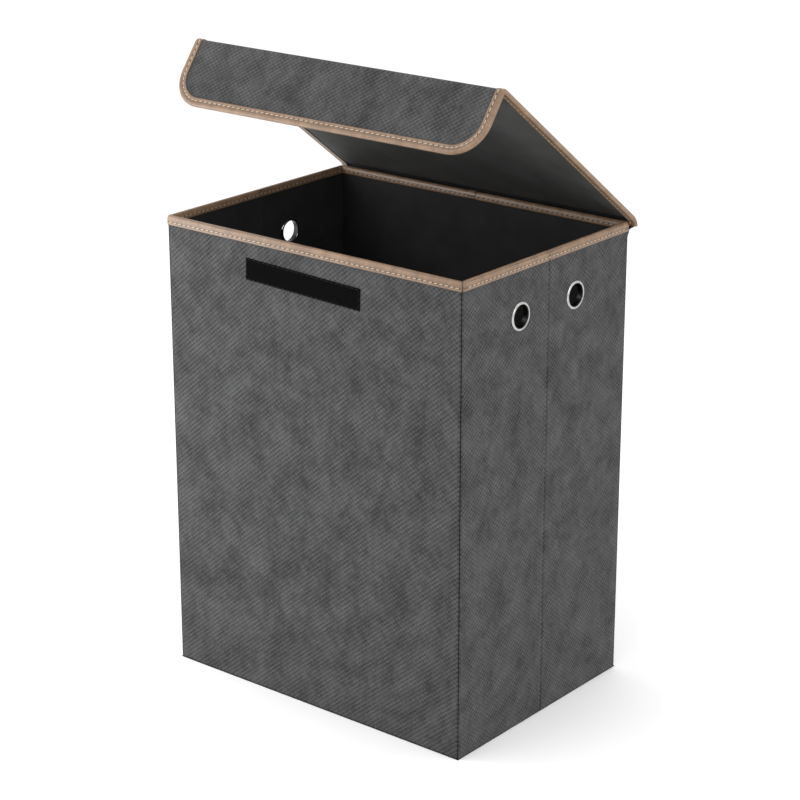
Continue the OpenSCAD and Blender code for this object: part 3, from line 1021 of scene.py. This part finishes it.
def pile(name, place, half, level, pitch, height, width):
    """Short leaning hooks in staggered rows, each a small tapered stub."""
    rows, cols = int((half[2] - 1.8) * 2 // pitch), int((half[0] - 1.0) * 2 // pitch)
    row, col = (g.reshape(-1, 1, 1) for g in np.indices((rows + 1, cols + 1)))
    x, z = (col - cols / 2) * pitch + pitch / 2 * (row % 2), (row - rows / 2) * pitch
    lean = 0.35 * np.sin(12.9 * row + 78.2 * col)
    radius, rise, reach = np.array([(1, 0, 0), (0.85, 0.6, 0.3), (0.5, 1, 0.9)]).T[..., None]
    ring, side = np.arange(3)[:, None], np.arange(5)
    turn = 2 * math.pi * side / 5
    rings = place(x + width * radius * np.cos(turn) + reach * lean,
                  z + width * radius * np.sin(turn) + 0.3 * reach * lean, level + height * rise)
    return many_tubes(name, rings, at(x + 0.1 * ring, z + 0.1 * side))


def round_strip(half, on, level):
    """place(s, lift) for stitches round a strip, and the length of their line."""
    long_x, long_z = 2 * (half[0] - 1.3), 2 * (half[2] - 1.3)
    loop = 2 * (long_x + long_z)

    def place(s, lift):
        s = np.mod(s, loop)
        spans = [s < long_x, s < long_x + long_z, s < 2 * long_x + long_z]
        x = np.select(spans, [s, long_x, 2 * long_x + long_z - s], 0) - long_x / 2
        z = np.select(spans, [0 * s, s - long_x, long_z + 0 * s], loop - s) - long_z / 2
        return on(x, z, level + lift)
    return place, loop


def make_strips():
    ends = np.array([v.co for v in frame["nodes"]["front_hook_strip"].data.vertices])[:, [0, 2]] / MM
    left, low, high = ends[ends[:, 0].argmin()], ends[ends[:, 1].argmin()], ends[ends[:, 1].argmax()]
    half = np.array([np.linalg.norm(low - left), 0, np.linalg.norm(high - left)]) / 2
    middle_x, middle_z = (low + high) / 2
    slope = math.atan2(left[1] - low[1], low[0] - left[0])
    middle_v = FLAP_START + (LID_TOP - FOLD_R) - middle_z

    def tilted(x, z):
        return (middle_x + x * math.cos(slope) + z * math.sin(slope),
                z * math.cos(slope) - x * math.sin(slope))

    def on_wall(x, z, out):
        x, z = tilted(x, z)
        return at(x, -HALF_D - out, middle_z + z)

    def on_flap(x, z, out):
        x, z = tilted(x, z)
        return lid_points(x, middle_v - z, -LID_T - out)
    slab = strip_slab("hook_strip", on_wall, half, HOOK_T)
    finish_piece(slab, HOOK_TAPE, "front_wall", ["front_hook_strip"])
    hooks = pile("hook_strip_hooks", on_wall, half, 0.9, 1.5, 0.75, 0.22)
    finish_piece(hooks, NYLON, "front_wall")
    slab = strip_slab("loop_strip", on_flap, half, LOOP_T)
    finish_piece(slab, LOOP_TAPE, "flap", ["flap_loop_strip"])
    tufts = pile("loop_strip_pile", on_flap, half, 0.8, 1.3, 0.45, 0.4)
    finish_piece(tufts, LOOP_TAPE, "flap")
    for name, on, body, level in (("hook", on_wall, "front_wall", HOOK_T), ("loop", on_flap, "flap", LOOP_T)):
        place, loop = round_strip(half, on, level)
        lengths = np.arange(STITCH_PITCH / 2, loop - 2, STITCH_PITCH)
        sew(f"{name}_strip_stitches", place, lengths, BLACK_THREAD, body, tilt=0)


# ---- Base ----

def trapezoid(wide, narrow, far, near, rows=25, cols=41):
    """Grid over half of the base: wide at the wall, far from the middle, narrow at the ridge."""
    t, share = np.linspace(0, 1, rows)[:, None], np.linspace(-1, 1, cols)
    return (wide + (narrow - wide) * t) * share, far + (near - far) * (t + 0 * share)


def make_base(half):
    """One half of the base: the lining over its board, and the bottom cloth under it."""
    way = HALVES[half]
    board = [f"base_{half}_board"]
    low, high = box_mm(f"base_{half}_lining")
    far, near = max(abs(low[1]), abs(high[1])), min(abs(low[1]), abs(high[1]))
    slope = far - near
    x, y = trapezoid(high[0], high[0] - slope, far, near)
    sag = 0.25 * ripple(x, y, 6.4 + way)
    faces = [at(x, way * y, z) for z in (high[2] + sag, low[2])]
    lining = shell(f"base_{half}_inner_cloth", *faces, at(x, y))
    finish_piece(lining, LINING, f"base_{half}", [f"base_{half}_lining"])
    sheet(lining, (2 * high[0], slope), board, (2 * high[0] - slope) * slope)
    x, y = trapezoid(HALF_W, HALF_W - HALF_D, HALF_D, 0.1)
    lift = 0.3 + 0.5 * ripple(x, y, 8.1 + way) * smooth((HALF_D - abs(y)) / 20)
    faces = [at(x, way * y, z) for z in (CLOTH_T, lift * 0.4)]
    under = shell(f"base_{half}_outer_cloth", *faces, at(x, y))
    finish_piece(under, LINING, None, ["bottom_cloth"] if half == "rear" else [])
    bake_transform(under)
    sheet(under, (2 * HALF_W, HALF_D), board, (2 * HALF_W - HALF_D) * HALF_D)


def make_gusset(side, half):
    """Triangle of bottom cloth beside one half of a side wall."""
    sign, way = SIDES[side], HALVES[half]
    t, share = grid(np.linspace(0, 1, 31), np.linspace(0, 1, 31))
    y = HALF_D * t
    x = HALF_W - (HALF_D - 0.6) * (1 - t) * share - 0.3
    lift = 0.2 * ripple(x, y, 9.3)
    faces = [at(sign * x, way * y, z) for z in (CLOTH_T, lift * (1 - t))]
    obj = shell(f"{side}_{half}_bottom_gusset", *faces, at(x, y))
    finish_piece(obj, LINING, f"{side}_{half}")
    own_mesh(obj)
    sheet(obj, (HALF_D, HALF_D), ["bottom_cloth"], HALF_D ** 2 / 2, held="folded")


# ---- Floor, lights and camera ----

FLOOR_HALF = 14.0       # metres, as are the places of the lights and the camera
FLOOR_DROP = 0.0003
SKY_STRENGTH = 1.12
CAMERA_PLACE = (1.5539, -1.9136, 1.1896)
CAMERA_TILT = 19.517    # degrees below level
CAMERA_TURN = 39.0      # degrees round from the front
CAMERA_LENS = 107.29


def make_stage():
    mesh = bpy.data.meshes.new("floor")
    ways = ((-1, -1), (1, -1), (1, 1), (-1, 1))
    mesh.from_pydata([(x * FLOOR_HALF, y * FLOOR_HALF, 0) for x, y in ways], [], [(0, 1, 2, 3)])
    floor = add_object("floor", mesh)
    floor.location.z = -FLOOR_DROP
    mesh.materials.append(make_floor())

    world = bpy.data.worlds.new("studio")
    bpy.context.scene.world = world
    world.use_nodes = True
    sky = world.node_tree.nodes["Background"]
    sky.inputs["Color"].default_value = (1.0, 1.0, 1.0, 1)
    sky.inputs["Strength"].default_value = SKY_STRENGTH


def area_light(name, place, aim, size, power):
    data = bpy.data.lights.new(name, "AREA")
    data.shape = "RECTANGLE"
    data.size, data.size_y = size
    data.energy = power
    lamp = add_object(name, data)
    lamp.location = place
    lamp.visible_camera = False
    way = np.array(aim) - np.array(place)
    lamp.rotation_euler = (math.atan2(np.hypot(way[0], way[1]), -way[2]), 0,
                           math.atan2(way[1], way[0]) - math.pi / 2)


def make_lights():
    """Soft lights, each with its place, what it aims at, its size in metres and its power in watts."""
    area_light("key", (-1.3, -2.4, 2.3), (0, 0, 0.3), (1.8, 1.4), 16)
    area_light("near_left", (-0.60, -0.52, 0.42), (-0.15, -0.14, 0.3), (0.35, 0.9), 4)
    area_light("side", (2.9, -0.5, 1.5), (0.1, 0, 0.2), (1.6, 1.6), 25)
    area_light("top", (0.2, 0.4, 3.0), (0, 0, 0.3), (2.4, 2.4), 16)


def make_camera():
    data = bpy.data.cameras.new("camera")
    data.lens = CAMERA_LENS
    data.sensor_width = 36
    camera = add_object("camera", data)
    camera.location = CAMERA_PLACE
    camera.rotation_euler = (math.radians(90 - CAMERA_TILT), 0, math.radians(CAMERA_TURN))
    bpy.context.scene.camera = camera
    bpy.context.scene.view_settings.view_transform = "Standard"


# ---- Build ----

def dress_nodes():
    """Boards and the cloth solids keep a material of their own, for where they show."""
    for name, obj in frame["nodes"].items():
        obj.data.materials.clear()
        obj.data.materials.append(CARD if name.endswith("_board") else LINING)


def make_walls():
    for wall in ENDS:
        rim = make_end_rim(wall)
        sheet(*make_end_fabric(wall), [f"{wall}_board"], with_pieces=[rim])
        sheet(*make_end_lining(wall), [f"{wall}_board"])
    for side in SIDES:
        boards = [f"{side}_{half}_board" for half in HALVES]
        rim = make_side_rim(side)
        sheet(*make_side_fabric(side), boards, with_pieces=[rim])
        sheet(*make_side_lining(side), boards)
        for half in HALVES:
            make_gusset(side, half)
    make_rim_stitches()
    make_rim_join()


def make_lid():
    boards = ["lid_board", "flap_board"]
    size = (2 * LID_HALF_W, V_END)
    area = 2 * LID_HALF_W * V_END - (2 - math.pi / 2) * FLAP_R ** 2
    tape = make_lid_tape()
    outer = make_lid_cloth("outer_fabric", 0.0, TUCK - FABRIC_T, FABRIC, 3.1, RIPPLE)
    sheet(outer, size, boards, area, [tape])
    inner = make_lid_cloth("lining", -LID_T, LINING_T - TUCK - LID_T, LIT_LID_LINING, 5.9, -BOW)
    sheet(inner, size, boards, area)
    make_lid_stitches()
    sheet(*make_tail(), ["lid_and_flap_fabric", "back_board"], with_pieces=make_tail_tapes())
    make_hinge_seam()


dress_nodes()
make_walls()
make_lid()
make_grommets()
make_strips()
for part in HALVES:
    make_base(part)
make_stage()
make_lights()
make_camera()
